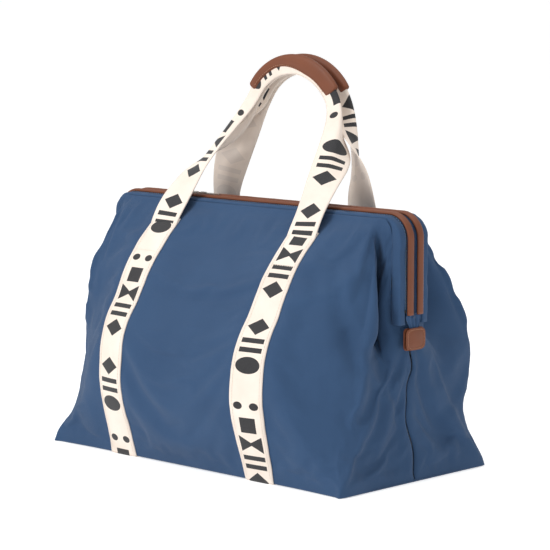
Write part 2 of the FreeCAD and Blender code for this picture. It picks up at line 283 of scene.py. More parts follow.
def ring_faces(first, rings, sides):
    """Faces of a closed stack of rings whose first point has the given number."""
    faces = []
    for r in range(rings - 1):
        for k in range(sides):
            a, b = first + r * sides + k, first + r * sides + (k + 1) % sides
            faces.append([a, b, b + sides, a + sides])
    last = first + (rings - 1) * sides
    faces.append([first + k for k in range(sides - 1, -1, -1)])
    faces.append([last + k for k in range(sides)])
    return faces


def threads(name, stitches, material, radius):
    """Sewing thread: one small capsule for each (start, end, outward) in millimetres."""
    verts, faces = [], []
    for start, end, out in stitches:
        start, end, out = (np.asarray(q, float) for q in (start, end, out))
        along = unit(end - start)
        out = unit(out - along * out.dot(along))
        side = np.cross(along, out)
        faces += ring_faces(len(verts), len(STITCH_PROFILE), THREAD_SIDES)
        for share, fat, lift in STITCH_PROFILE:
            centre = start + (end - start) * share + out * lift * radius
            for k in range(THREAD_SIDES):
                turn = k * 2 * math.pi / THREAD_SIDES
                around = side * math.cos(turn) + out * math.sin(turn)
                verts.append(centre + around * radius * fat)
    obj = add_mesh(name, verts, faces, material, np.zeros((len(verts), 2)))
    outward(obj)
    return obj


def sampled(values, run, t):
    """The place or direction at distance t along a line."""
    return np.array([np.interp(t, run, values[:, c]) for c in range(3)])


def stitch_line(points, outs, pitch=4.2, length=2.9):
    """Evenly spaced stitches along a line of points with their outward directions."""
    points, outs = np.asarray(points, float), np.asarray(outs, float)
    run = distance_along(points)
    made = []
    for k in range(int(run[-1] // pitch)):
        begin = k * pitch + FIRST_STITCH
        end = begin + length
        made.append(
            (sampled(points, run, begin), sampled(points, run, end), sampled(outs, run, begin))
        )
    return made


# ---- Materials ----
class Nodes:
    """Short calls for building a material's node tree."""

    def __init__(self, name):
        self.material = bpy.data.materials.new(name)
        self.material.use_nodes = True
        self.tree = self.material.node_tree
        self.bsdf = self.tree.nodes["Principled BSDF"]

    def put(self, socket, value):
        if isinstance(value, bpy.types.NodeSocket):
            self.tree.links.new(value, socket)
        elif value is not None:
            socket.default_value = value

    def node(self, kind, sockets=(), **settings):
        """A new node, with its settings and then its input sockets filled."""
        made = self.tree.nodes.new(kind)
        for key, value in settings.items():
            setattr(made, key, value)
        for key, value in dict(sockets).items():
            self.put(made.inputs[key], value)
        return made

    def math(self, operation, a, b=None, c=None):
        return self.node("ShaderNodeMath", {0: a, 1: b, 2: c}, operation=operation).outputs[0]

    def noise(self, where, scale, detail=3.0, rough=0.55):
        sockets = {"Vector": where, "Scale": scale, "Detail": detail, "Roughness": rough}
        return self.node("ShaderNodeTexNoise", sockets).outputs["Fac"]

    def mix(self, share, a, b):
        return self.node("ShaderNodeMix", {0: share, 6: a, 7: b}, data_type="RGBA").outputs[2]

    def span(self, value, low, high, to_low, to_high):
        sockets = dict(enumerate((value, low, high, to_low, to_high)))
        return self.node("ShaderNodeMapRange", sockets).outputs[0]

    def bump(self, height, strength, distance, under=None):
        sockets = {"Strength": strength, "Distance": distance, "Height": height, "Normal": under}
        return self.node("ShaderNodeBump", sockets).outputs[0]

    def place(self):
        return self.node("ShaderNodeTexCoord").outputs["Object"]

    def uv(self):
        where = self.node("ShaderNodeTexCoord").outputs["UV"]
        split = self.node("ShaderNodeSeparateXYZ", {0: where})
        return split.outputs[0], split.outputs[1]

    def wave(self, value, pitch):
        """From 0 to 1 and back every pitch metres."""
        turned = self.math("SINE", self.math("MULTIPLY", value, 2 * math.pi / pitch))
        return self.math("MULTIPLY_ADD", turned, 0.5, 0.5)

    def finish(self, colour, roughness, normal=None, **constants):
        sockets = {"Base Color": colour, "Roughness": roughness, "Normal": normal}
        for key, value in sockets.items():
            self.put(self.bsdf.inputs[key], value)
        for key, value in constants.items():
            self.bsdf.inputs[key.replace("_", " ")].default_value = value
        return self.material


def rgb(r, g, b):
    return (r, g, b, 1.0)


def woven(name, dark, light, pitch, depth, sheen=0.25, roughness=0.86):
    """Plain-weave cloth: two threads crossing, slub along them, and a soft mottle."""
    n = Nodes(name)
    where = n.place()
    u, v = n.uv()
    warp, weft = n.wave(u, pitch), n.wave(v, pitch)
    cross = n.math("MULTIPLY", warp, weft)
    slub = n.noise(where, 900.0, 2.0)
    mottle = n.noise(where, 14.0, 4.0)
    share = n.math("MULTIPLY_ADD", mottle, 0.55, n.math("MULTIPLY", slub, 0.30))
    share = n.math("MULTIPLY_ADD", cross, 0.15, share)
    colour = n.mix(share, dark, light)
    rough = n.span(slub, 0.3, 0.7, roughness - 0.06, roughness + 0.06)
    coarse = n.bump(n.noise(where, 120.0, 3.0), 0.25, 0.0008)
    fine = n.bump(n.math("ADD", cross, slub), depth, 0.0003, coarse)
    return n.finish(
        colour, rough, fine, Sheen_Weight=sheen, Sheen_Roughness=0.5, Specular_IOR_Level=0.3
    )


def leather(name, dark, light):
    n = Nodes(name)
    where = n.place()
    sockets = {"Vector": where, "Scale": 620.0}
    cells = n.node("ShaderNodeTexVoronoi", sockets, feature="DISTANCE_TO_EDGE")
    pores = n.span(cells.outputs["Distance"], 0.0, 0.25, 0.0, 1.0)
    mottle = n.noise(where, 45.0, 5.0)
    worn = n.noise(where, 12.0, 3.0)
    colour = n.mix(n.math("MULTIPLY_ADD", worn, 0.5, n.math("MULTIPLY", mottle, 0.5)), dark, light)
    rough = n.span(mottle, 0.3, 0.7, 0.46, 0.62)
    normal = n.bump(pores, 0.22, 0.00025, n.bump(mottle, 0.15, 0.0006))
    return n.finish(colour, rough, normal, Specular_IOR_Level=0.35)


def metal(name, colour, low, high):
    n = Nodes(name)
    where = n.place()
    streak = n.noise(where, 260.0, 4.0)
    shade = n.mix(n.noise(where, 60.0), colour, tuple(c * 0.8 for c in colour[:3]) + (1.0,))
    normal = n.bump(streak, 0.12, 0.0001)
    return n.finish(shade, n.span(streak, 0.3, 0.7, low, high), normal, Metallic=1.0)


def plastic(name, colour, roughness):
    n = Nodes(name)
    where = n.place()
    grain = n.noise(where, 700.0, 3.0)
    shade = n.mix(n.noise(where, 30.0), colour, tuple(c * 1.35 for c in colour[:3]) + (1.0,))
    return n.finish(
        shade, n.span(grain, 0.3, 0.7, roughness - 0.08, roughness + 0.08), n.bump(grain, 0.3, 0.0002)
    )


MARK_PITCH = 0.0265
MARK_HEIGHT = 0.036
MARK_CELLS = 10.0


def printed_marks(n, u, v):
    """Plain solid shapes in a row along the webbing: 1 on a mark, 0 off it."""
    cell = n.math("DIVIDE", v, MARK_PITCH)
    turn = n.math("FLOORED_MODULO", n.math("FLOOR", cell), MARK_CELLS)
    a = n.math("ABSOLUTE", n.math("SUBTRACT", n.math("FRACT", cell), 0.5))
    b = n.math("ABSOLUTE", n.math("DIVIDE", u, MARK_HEIGHT))

    def inside(value, limit):
        return n.math("LESS_THAN", value, limit)

    def both(p, q):
        return n.math("MULTIPLY", p, q)

    def round_shape(p, q, limit):
        return inside(n.math("ADD", both(p, p), both(q, q)), limit)

    tall = inside(b, 0.5)
    diamond = inside(n.math("MULTIPLY_ADD", b, 0.92, a), 0.46)
    bars = both(tall, inside(n.math("ABSOLUTE", n.math("SUBTRACT", a, 0.24)), 0.125))
    hourglass = both(tall, inside(a, n.math("MULTIPLY_ADD", b, 0.72, 0.08)))
    square = both(inside(a, 0.40), inside(b, 0.34))
    disc = round_shape(a, n.math("MULTIPLY", b, 0.80), 0.175)
    spots = round_shape(a, n.math("SUBTRACT", b, 0.34), 0.036)
    total = None
    order = (diamond, bars, hourglass, square, spots, None, disc, bars, diamond)
    for index, shape in enumerate(order):
        if shape is None:
            continue
        here = both(n.math("COMPARE", turn, float(index), 0.5), shape)
        total = here if total is None else n.math("MAXIMUM", total, here)
    return total


def webbing(name, printed):
    """Ecru cotton webbing with fine cross ribs. The outer face carries the printed marks."""
    n = Nodes(name)
    where = n.place()
    u, v = n.uv()
    rib = n.wave(v, 0.0013)
    cord = n.wave(u, 0.0021)
    slub = n.noise(where, 700.0, 3.0)
    mottle = n.noise(where, 25.0, 4.0)
    share = n.math("MULTIPLY_ADD", rib, 0.25, n.math("MULTIPLY", mottle, 0.7))
    ecru = n.mix(share, rgb(0.66, 0.55, 0.46), rgb(0.93, 0.84, 0.76))
    shape = printed_marks(n, u, v)
    if printed:
        ink = n.mix(slub, rgb(0.008, 0.008, 0.010), rgb(0.035, 0.034, 0.036))
        colour = n.mix(shape, ecru, ink)
        rough = n.math("MULTIPLY_ADD", shape, -0.22, 0.88)
    else:
        colour = n.mix(n.math("MULTIPLY", shape, 0.16), ecru, rgb(0.22, 0.22, 0.24))
        rough = 0.9
    height = n.math("MULTIPLY_ADD", rib, 0.7, n.math("MULTIPLY", cord, 0.3))
    normal = n.bump(height, 0.35, 0.0003, n.bump(slub, 0.15, 0.0004))
    return n.finish(colour, rough, normal, Sheen_Weight=0.15, Specular_IOR_Level=0.3)


CANVAS = woven("canvas", rgb(0.019, 0.049, 0.112), rgb(0.036, 0.084, 0.176), 0.0011, 0.5, 0.05)
CANVAS_BACK = woven(
    "canvas_back", rgb(0.019, 0.048, 0.108), rgb(0.035, 0.080, 0.165), 0.0011, 0.4, 0.05
)
TAPE = woven("zip_tape_weave", rgb(0.026, 0.062, 0.14), rgb(0.05, 0.11, 0.23), 0.0008, 0.4, 0.05)
LINING = woven("lining_weave", rgb(0.42, 0.38, 0.33), rgb(0.62, 0.57, 0.50), 0.0007, 0.25, 0.3, 0.7)
WEB_FACE = webbing("webbing_face", True)
WEB_BACK = webbing("webbing_back", False)
LEATHER = leather("tan_leather", rgb(0.110, 0.032, 0.013), rgb(0.215, 0.065, 0.027))
NICKEL = metal("nickel", rgb(0.62, 0.60, 0.56), 0.22, 0.36)
STEEL = metal("spring_steel", rgb(0.45, 0.46, 0.48), 0.3, 0.48)
COIL = plastic("zip_coil", rgb(0.022, 0.045, 0.10), 0.42)
BOARD = plastic("board", rgb(0.07, 0.07, 0.075), 0.55)
BLUE_THREAD = woven("blue_thread", rgb(0.09, 0.17, 0.30), rgb(0.14, 0.25, 0.42), 0.0006, 0.3, 0.3)
TAN_THREAD = woven("tan_thread", rgb(0.32, 0.14, 0.07), rgb(0.48, 0.24, 0.13), 0.0006, 0.3, 0.3)
ECRU_THREAD = woven("ecru_thread", rgb(0.62, 0.54, 0.44), rgb(0.86, 0.79, 0.69), 0.0006, 0.3, 0.3)


# ---- Body ----
def skin_rows(side):
    """Heights, and the (x, y) points from the left end seam to the right one at each."""
    heights, rows = [], []
    for z, seam, arm, hollow, corner, turn, *depths in FRONT_SKIN:
        if side > 0 and z in REAR_CORNERS:
            corner, turn, depths[0] = REAR_CORNERS[z]
        if side > 0:
            hollow = REAR_HOLLOWS.get(z, hollow)
        face = list(zip((200, 130, 65, 0), depths))
        ends = [seam, arm, hollow, corner, turn]
        tucked = TUCKED_CORNERS.get(z, ends) if side < 0 else ends
        right = [(x, side * y) for x, y in list(tucked) + face]
        left = [(-x, side * y) for x, y in ends + face[:-1]]
        heights.append(z)
        rows.append(left + right[::-1])
    return np.array(heights, float), np.array(rows, float)


def skin(side, z, columns):
    """The undisturbed outer surface of one half of the body."""
    heights, rows = skin_rows(side)
    shaped = spline(rows, heights, z)
    across = spline(shaped.transpose(1, 0, 2), np.arange(rows.shape[1]), columns)
    grid = np.empty((len(z), len(columns), 3))
    grid[..., :2] = across.transpose(1, 0, 2)
    grid[..., 2] = np.asarray(z)[:, None]
    return grid


def near_line(points, line):
    """Distance from each point to a broken line, and how far along it the nearest point is."""
    best = np.full(points.shape[:-1], 1e9)
    place = np.zeros(points.shape[:-1])
    line = np.asarray(line, float)
    for k, (a, b) in enumerate(zip(line[:-1], line[1:])):
        d = b - a
        t = np.clip(((points - a) @ d) / d.dot(d), 0, 1)
        far = np.linalg.norm(points - (a + t[..., None] * d), axis=-1)
        closer = far < best
        best = np.where(closer, far, best)
        place = np.where(closer, (k + t) / (len(line) - 1), place)
    return best, place


def fractal(points, scale, seed):
    flat = points.reshape(-1, 3) / scale
    values = [noise.fractal(Vector(p) + Vector((seed, seed, seed)), 0.9, 2.0, 3) for p in flat]
    return np.array(values).reshape(points.shape[:-1])


def free_cloth(grid):
    """How free the cloth is to move: 0 where it is sewn down, 1 in the open."""
    x, y, z = np.abs(grid[..., 0]), np.abs(grid[..., 1]), grid[..., 2]
    under_strap = 1 - 0.75 * np.exp(-(((x - WEB_X) / 30.0) ** 4))
    return smooth(0, 26, z) * smooth(346, 318, z) * smooth(0, 14, y) * under_strap


def crumple(grid, folds, seed):
    """Sculpted folds, gathers under the frame and soft unevenness."""
    out = grid_normals(grid)
    middle = grid.shape[1] // 2
    if out[len(out) // 2, middle, 1] * grid[len(grid) // 2, middle, 1] < 0:
        out = -out
    free = free_cloth(grid)
    move = fractal(grid * (1.0, 1.0, 0.7), 85.0, seed) * 3.4
    move += fractal(grid * (1.0, 1.0, 0.45), 30.0, seed + 9) * 1.2
    ends = smooth(110, 230, np.abs(grid[..., 0]))
    slanted = grid @ np.array([[0.8, 0.0, 0.5], [0.0, 0.8, 0.5], [-0.5, -0.5, 0.7]])
    move -= (np.abs(fractal(slanted, 48.0, seed + 40)) - 0.2) * (1.2 + 1.8 * ends)
    gathers = np.sin(grid[..., 0] * 0.30 + 3.0 * fractal(grid, 60.0, seed + 20))
    move += gathers * 1.7 * np.exp(-((345 - grid[..., 2]) / 26.0).clip(0, 9))
    for line, width, height in folds:
        far, place = near_line(grid, line)
        fade = np.sin(np.clip(place, 0.06, 0.94) * math.pi) ** 0.6
        move += height * fade * np.exp(-((far / width) ** 2))
    return grid + out * (move * free)[..., None]


def blurred(values, times):
    """The broad part of a movement over the grid, without its small folds."""
    for _ in range(times):
        wide = np.pad(values, ((2, 2), (2, 2), (0, 0)), mode="edge")
        down = (wide[:-4] + wide[1:-3] + wide[2:-2] + wide[3:-1] + wide[4:]) / 5
        values = (down[:, :-4] + down[:, 1:-3] + down[:, 2:-2] + down[:, 3:-1] + down[:, 4:]) / 5
    return values


SETTLE_FRAMES = 22
SETTLE_GAIN = 0.8
SETTLE_CAP = 7.0


def settle(obj, grid):
    """Lets the cloth settle: it is cut a little large, held along its seams, and buckles.
    Only the folds are kept, so the panel keeps its broad shape."""
    group = obj.vertex_groups.new(name="held")
    free = free_cloth(grid)
    edge = np.zeros(grid.shape[:2])
    edge[:2] = edge[-3:] = edge[:, :2] = edge[:, -2:] = 1
    hold = np.maximum(1 - free, edge)
    for i, weight in enumerate(hold.ravel()):
        group.add([i], float(np.clip(weight, 0.0, 1.0)), "REPLACE")
    cloth = obj.modifiers.new("Cloth", "CLOTH")
    s = cloth.settings
    s.quality = 6
    s.mass = 0.35
    s.tension_stiffness = s.compression_stiffness = 18
    s.shear_stiffness = 8
    s.bending_stiffness = 1.6
    s.shrink_min = -0.022
    s.vertex_group_mass = "held"
    s.pin_stiffness = 1.0
    s.effector_weights.gravity = 0.35
    s.use_pressure = True
    s.uniform_pressure_force = -0.25 * np.sign(grid[..., 1].mean())
    cloth.collision_settings.use_collision = False
    cloth.point_cache.frame_end = SETTLE_FRAMES
    scene = bpy.context.scene
    for f in range(1, SETTLE_FRAMES + 1):
        scene.frame_set(f)
    shaped = obj.evaluated_get(bpy.context.evaluated_depsgraph_get()).data
    co = np.empty(len(shaped.vertices) * 3)
    shaped.vertices.foreach_get("co", co)
    obj.modifiers.remove(cloth)
    scene.frame_set(1)
    moved = co.reshape(grid.shape) / MM - grid
    moved = (moved - 0.9 * blurred(moved, 12)) * SETTLE_GAIN * free[..., None]
    size = np.linalg.norm(moved, axis=-1, keepdims=True)
    return grid + moved * np.minimum(1.0, SETTLE_CAP / np.maximum(size, 1e-6))


COLUMNS = 16


def body_half(face):
    side = SIDES[face]
    z = np.concatenate([np.linspace(1.0, 24.0, 8)[:-1], np.linspace(24.0, 345.0, 79)])
    columns = np.linspace(0, COLUMNS, COLUMNS * 8 + 1)
    grid = crumple(skin(side, z, columns), FRONT_FOLDS if side < 0 else REAR_FOLDS, 3.0 + side)
    loose = add_mesh(face + "_loose", grid.reshape(-1, 3), grid_faces(grid), CANVAS)
    grid = settle(loose, grid)
    bpy.data.objects.remove(loose)
    return sew_ends(grid, side)


SEAM_Z = (0, 41, 80, 115, 128, 152, 166, 190)
SEAM_Y = (0, 8, -6, -3, -5, 11, 0, 0)
SEAM_ROUNDING = (-10.0, -5.0, 0.0, 5.0, 10.0)
GROOVE_HALF = 3.2
GROOVE_DEPTH = 4.2


def sew_ends(grid, side):
    """Both halves meet in a groove that wanders a little down each end."""
    x, y, z = grid[..., 0], grid[..., 1], grid[..., 2]
    near = smooth(225, 250, np.abs(x)) * smooth(205, 180, z)
    y[...] = side * np.maximum(side * y, 0.3)
    groove = np.exp(-((y / GROOVE_HALF) ** 2)) * near * smooth(0, 12, z)
    x[...] -= np.sign(x) * GROOVE_DEPTH * groove
    wander = sum(np.interp(z + step, SEAM_Z, SEAM_Y) for step in SEAM_ROUNDING)
    wander = wander / len(SEAM_ROUNDING)
    y[...] += wander * near * np.exp(-np.abs(y) / 34.0)
    return grid


def subdivided(obj):
    modifier = obj.modifiers.new("Smooth", "SUBSURF")
    modifier.levels = modifier.render_levels = 1


BODY = {}
for face, side in SIDES.items():
    BODY[face] = body_half(face)
    panel = cloth_solid(face + "_body", BODY[face], 1.3, [CANVAS, CANVAS_BACK], inner_side=-side)
    subdivided(panel)
    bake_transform(panel)
    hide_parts(face + "_panel_lower", face + "_panel_upper")


# ---- Base ----
BASE_HALF = (274.0, 141.0)


def base_sheet(name, inset, z, thick, material, ripple=0.0):
    """A flat sheet with the outline of the body's foot."""
    front = skin(-1, [3.0], np.linspace(0, COLUMNS, 121))[0]
    rear = skin(1, [3.0], np.linspace(0, COLUMNS, 121))[0]
    shrink = np.array([1 - inset / BASE_HALF[0], 1 - inset / BASE_HALF[1], 1.0])
    rows = [front * (1 - s) + rear * s for s in np.linspace(0, 1, 41)]
    grid = np.array(rows) * shrink
    grid[..., 2] = z
    if ripple:
        grid[..., 2] -= ripple * np.abs(np.sin(grid[..., 0] * 0.06) * np.sin(grid[..., 1] * 0.06))
    return cloth_solid(name, grid, thick, material, inner_side=-1)


base = base_sheet("base_cloth", 1.5, 1.95, 1.2, CANVAS)
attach(base, "bag")
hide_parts("base_panel")


# ---- Lining and pockets ----
def surface_of(face):
    grid = BODY[face]
    return BVHTree.FromPolygons([Vector(p) for p in grid.reshape(-1, 3)], grid_faces(grid))


LINING_END = 255.0
# Room between the lining and the cloth outside it, where both fold.
FOLD_ROOM = 8.0


def inset_skin(face, low, high, inset):
    """The settled cloth's shape between two heights, smoothed and moved inwards."""
    side, grid = SIDES[face], BODY[face]
    keep = (grid[:, 0, 2] > low - 4) & (grid[:, 0, 2] < high + 4)
    grid = grid[keep][:, ::2]
    broad = blurred(grid, 1)
    inner = np.minimum(side * broad[..., 1], side * grid[..., 1])
    out = grid_normals(grid) * -side
    shaped = grid.copy()
    shaped[..., 1] = side * inner
    fold_room = FOLD_ROOM * smooth(180, 205, grid[..., 2]) * smooth(305, 275, grid[..., 2])
    shaped = shaped - unit(out) * (inset + fold_room)[..., None]
    shaped[..., 2] = np.clip(grid[..., 2], low, high)
    shaped[..., 1] = side * np.maximum(side * shaped[..., 1], 0.6)
    shaped[..., 0] = np.clip(shaped[..., 0], -LINING_END, LINING_END)
    return kept_inside(shaped, face, inset - 1.0)


def kept_inside(grid, face, room):
    """Moves any point that is nearer the outer cloth than room, or beyond it, back inside."""
    side, tree = SIDES[face], surface_of(face)
    for _ in range(3):
        for row in grid:
            for point in row:
                place, normal, _, _ = tree.find_nearest(Vector(point))
                outwards = normal * -side
                fold = smooth(130, 150, point[2]) * smooth(260, 235, point[2])
                gap = room + FOLD_ROOM * fold * smooth(190, 225, abs(point[0]))
                if (Vector(point) - place).dot(outwards) > -gap:
                    point[:2] = (place - outwards * (gap + 0.3))[:2]
        grid[1:-1, 1:-1] = 0.5 * grid[1:-1, 1:-1] + 0.125 * (
            grid[:-2, 1:-1] + grid[2:, 1:-1] + grid[1:-1, :-2] + grid[1:-1, 2:]
        )
    grid[..., 1] = side * np.maximum(side * grid[..., 1], 0.6)
    return grid


for face, side in SIDES.items():
    grid = inset_skin(face, 9.0, 331.0, 4.5)
    ripple = np.abs(fractal(grid, 40.0, 31.0 + side)) * 1.2
    grid[..., 1] = side * np.maximum(side * grid[..., 1] - ripple, 0.6)
    lining = cloth_solid(face + "_lining", grid, 0.7, LINING, inner_side=-side)
    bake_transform(lining)
    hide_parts("lining_upper_" + face, *(["lining_lower"] if side > 0 else []))

floor_lining = base_sheet("floor_lining", 9.0, 6.9, 0.7, LINING, 0.4)
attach(floor_lining, "bag")
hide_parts("lining_floor")


def pocket(face, half, top):
    """An open slip pocket: a sheet that stands a little off the lining, hemmed along its top."""
    side = SIDES[face]
    grid = inset_skin(face, 45.0, top, 8.0)
    keep = np.abs(grid[len(grid) // 2, :, 0]) < half
    grid = grid[:, keep]
    lift = smooth(45, top, grid[..., 2]) * (1 - (grid[..., 0] / half) ** 2)
    grid[..., 1] -= side * 5.0 * lift
    sheet = cloth_solid(face + "_pocket", grid, 0.9, LINING, inner_side=-side)
    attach(sheet, "bag")
    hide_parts(face + "_slip_pocket")
    rim = grid[-1]
    turn = full_turn(8)
    ring = np.stack([np.zeros(8), np.cos(turn) * 1.1, np.sin(turn) * 3.0], 1)
    hem = tube(face + "_pocket_hem", rim[:, None] + ring[None], LINING)
    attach(hem, "bag")


pocket("front", 120.0, 160.0)
pocket("rear", 160.0, 145.0)


# ---- Sewn webbing ----
def strap_depth(tree, side, x, z):
    """How far out the cloth is at a place on a face."""
    start = Vector((x, side * 400.0, z))
    hit = tree.ray_cast(start, Vector((0, -side, 0)))[0]
    return hit.y if hit else side * BASE_HALF[1]


# Where the printed row starts on each strap, so that no two straps match.
STRAP_SHIFT = {"front": {"left": 95.0, "right": 12.0}, "rear": {"left": 40.0, "right": 70.0}}
STITCH_LIFT = 0.15
BOX_STITCH_ROWS = (-14, -2)


def sewn_strap(face, hand):
    side = SIDES[face]
    x0 = WEB_X * (-1 if hand == "left" else 1)
    tree = surface_of(face)
    z = np.concatenate([np.linspace(0.9, 24, 8)[:-1], np.linspace(24, 321, 92)])
    across = np.linspace(-WEB_WIDTH / 2, WEB_WIDTH / 2, 13)
    grid = np.empty((len(z), len(across), 3))
    for i, zz in enumerate(z):
        depth = [strap_depth(tree, side, x0 + a, max(zz, 2.0)) for a in across]
        grid[i, :, 0], grid[i, :, 1], grid[i, :, 2] = x0 + across, depth, zz
    for _ in range(3):
        grid[1:-1, :, 1] = (grid[:-2, :, 1] + 2 * grid[1:-1, :, 1] + grid[2:, :, 1]) / 4
    out = grid_normals(grid)
    out = out * np.sign(out[..., 1] * side)[..., None]
    crown = 0.5 * (1 - (2 * across / WEB_WIDTH) ** 6)
    grid = grid + out * (1.6 + crown)[None, :, None]
    run = distance_along(grid[:, len(across) // 2])
    shift = STRAP_SHIFT[face][hand]
    uv = np.empty(grid.shape[:2] + (2,))
    uv[..., 0], uv[..., 1] = across[None, :], run[:, None] + shift
    name = f"{face}_strap_{hand}"
    strap = cloth_solid(name, grid, WEB_THICK, [WEB_FACE, WEB_BACK], uv, -side)
    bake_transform(strap)
    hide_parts(name + "_lower", name + "_upper")
    lines = []
    thread_line = grid + out * STITCH_LIFT
    for column in (1, -2):
        lines += stitch_line(thread_line[2:-1, column], out[2:-1, column])
    for row in BOX_STITCH_ROWS:
        lines += stitch_line(thread_line[row, 1:-1], out[row, 1:-1])
    sewing = threads(name + "_stitches", lines, ECRU_THREAD, 0.34)
    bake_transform(sewing)
    return run[-1] + shift


STRAP_END = {}
for face in SIDES:
    for hand in ("left", "right"):
        STRAP_END[face, hand] = sewn_strap(face, hand)

for hand, x0 in (("left", -WEB_X), ("right", WEB_X)):
    y = np.linspace(-140.0, 140.0, 57)
    across = np.linspace(-WEB_WIDTH / 2, WEB_WIDTH / 2, 9)
    grid = np.empty((len(y), len(across), 3))
    grid[..., 0], grid[..., 1] = x0 + across[None], y[:, None]
    grid[..., 2] = 0.05 + 0.25 * (2 * across / WEB_WIDTH)[None] ** 6
    uv = np.stack(np.broadcast_arrays(across[None], y[:, None] + 140.0), 2)
    run = cloth_solid("base_strap_run_" + hand, grid, WEB_THICK, [WEB_FACE, WEB_BACK], uv, -1)
    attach(run, "bag")
    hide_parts("base_strap_" + hand)


# ---- Frame: sleeves, piping, zip ----
def frame_line(z_end, pitch):
    """Places and outward directions along the frame's outer edge, evenly spaced, in (x, z)."""
    corner_z, corner_x = FRAME_TOP - FRAME_CORNER, FRAME_HALF - FRAME_CORNER
    places, outs = [], []
    for z in np.linspace(z_end, corner_z, 60)[:-1]:
        places.append((-FRAME_HALF, z))
        outs.append((-1.0, 0.0))
    for a in np.linspace(math.pi, math.pi / 2, 24):
        c, s = math.cos(a), math.sin(a)
        places.append((-corner_x + FRAME_CORNER * c, corner_z + FRAME_CORNER * s))
        outs.append((c, s))
    for x in np.linspace(-corner_x, 0, 60)[1:]:
        places.append((x, FRAME_TOP))
        outs.append((0.0, 1.0))
    places, outs = np.array(places), np.array(outs)
    mirror = np.array([-1.0, 1.0])
    places = np.concatenate([places, places[-2::-1] * mirror])
    outs = np.concatenate([outs, outs[-2::-1] * mirror])
    run = distance_along(places)
    t = np.arange(0, run[-1], pitch)
    places, outs = (
        np.stack([np.interp(t, run, q[:, 0]), np.interp(t, run, q[:, 1])], 1)
        for q in (places, outs)
    )
    return places, unit(outs)


def on_band(places, outs, y, s):
    """A point of the band: y from the zip and s outwards from the frame's outer edge."""
    x = places[..., 0] + outs[..., 0] * s
    z = places[..., 1] + outs[..., 1] * s
    return np.stack([x, np.broadcast_to(y, x.shape), z], -1)


def rounded_section(y0, y1, s0, s1, power, count):
    """A soft-cornered box section as (y, s) points."""
    turn = full_turn(count)
    c, s = squared(np.cos(turn), 2 / power), squared(np.sin(turn), 2 / power)
    return (y0 + y1) / 2 + c * (y1 - y0) / 2, (s0 + s1) / 2 + s * (s1 - s0) / 2


def sweep(name, z_end, section, side, material, pitch=4.0, pucker=0.0, seed=0.0):
    """A section carried round the frame. pucker is how far the surface ripples."""
    places, outs = frame_line(z_end, pitch)
    y, s = section
    rings = on_band(places[:, None], outs[:, None], side * y[None], s[None])
    if pucker:
        centre = rings.mean(1, keepdims=True)
        ripple = fractal(rings * (0.55, 1.0, 0.55), 9.0, seed)
        rings = rings + unit(rings - centre) * (ripple * pucker)[..., None]
    return tube(name, rings, material)


SLEEVE_SECTION = rounded_section(15.4, 28.4, -18.0, -1.8, 4.0, 28)
PIPING_SECTION = rounded_section(4.0, 15.2, -2.6, 2.6, 2.4, 18)
TAPE_SECTION = rounded_section(2.6, 14.0, -3.3, -2.65, 6.0, 12)
# How far down each goes at the ends of the frame.
SLEEVE_END, PIPING_END, TAPE_END, COIL_END = 206.0, 219.5, 217.0, 214.5
SEWING_END = 224.0

for face, side in SIDES.items():
    body = face + "_frame"
    name = face + "_sleeve"
    sleeve = sweep(name, SLEEVE_END, SLEEVE_SECTION, side, CANVAS, 2.5, 0.8, side * 4.0)
    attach(sleeve, body)
    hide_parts(face + "_frame_sleeve")
    name = face + "_leather_piping"
    piping = sweep(name, PIPING_END, PIPING_SECTION, side, LEATHER, 3.0, 0.25, 2.0)
    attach(piping, body)
    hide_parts(face + "_piping")
    tape = sweep(face + "_tape", TAPE_END, TAPE_SECTION, side, TAPE)
    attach(tape, body)
    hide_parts(face + "_zip_tape")
    places, outs = frame_line(SEWING_END, 1.0)
    path, facing = on_band(places, outs, side * 17.6, -1.75), on_band(0 * places, outs, 0, 1.0)
    sewing = threads(face + "_sleeve_stitches", stitch_line(path, facing), BLUE_THREAD, 0.42)
    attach(sewing, body)


# A zip tooth, from its root on the tape to its hook: y, place in the band, thickness.
TOOTH = ((3.3, -2.2, 0.45), (1.8, -2.0, 0.55), (0.3, -1.9, 0.58), (-0.7, -2.1, 0.5), (-0.9, -2.5, 0.25))
TOOTH_PITCH = 2.6
TOOTH_SIDES = 6


def coil(face):
    """One side of the zip: a row of small hooked teeth that reach past the middle."""
    side = SIDES[face]
    places, outs = frame_line(COIL_END, TOOTH_PITCH / 2)
    turn = full_turn(TOOTH_SIDES)
    verts, faces = [], []
    for k in range(0 if side < 0 else 1, len(places), 2):
        faces += ring_faces(len(verts), len(TOOTH), TOOTH_SIDES)
        p, o = places[k], outs[k]
        along = np.array([o[1], 0.0, -o[0]])
        out = np.array([o[0], 0.0, o[1]])
        for y, s, fat in TOOTH:
            centre = np.array([p[0], side * y, p[1]]) + out * s
            for a in turn:
                around = along * math.cos(a) * fat
                verts.append(centre + around + out * math.sin(a) * 0.85 * (fat + 0.2))
    row = add_mesh(face + "_zip_coil", verts, faces, COIL, np.zeros((len(verts), 2)))
    outward(row)
    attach(row, face + "_frame")
    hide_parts(face + "_zip_teeth")


coil("front")
coil("rear")


# ---- Leather end tabs ----
# The tab's face from its edge to its middle: share of its half width, height off its back.
TAB_PROFILE = (
    (0.97, 0.0), (1.0, 0.5), (1.0, 1.3), (0.975, 1.85), (0.93, 2.05), (0.87, 1.85),
    (0.82, 1.75), (0.7, 2.1), (0.5, 2.6), (0.25, 2.9), (0.02, 3.0),
)
TAB_POINTS = 64
TAB_BORDER = 0.84


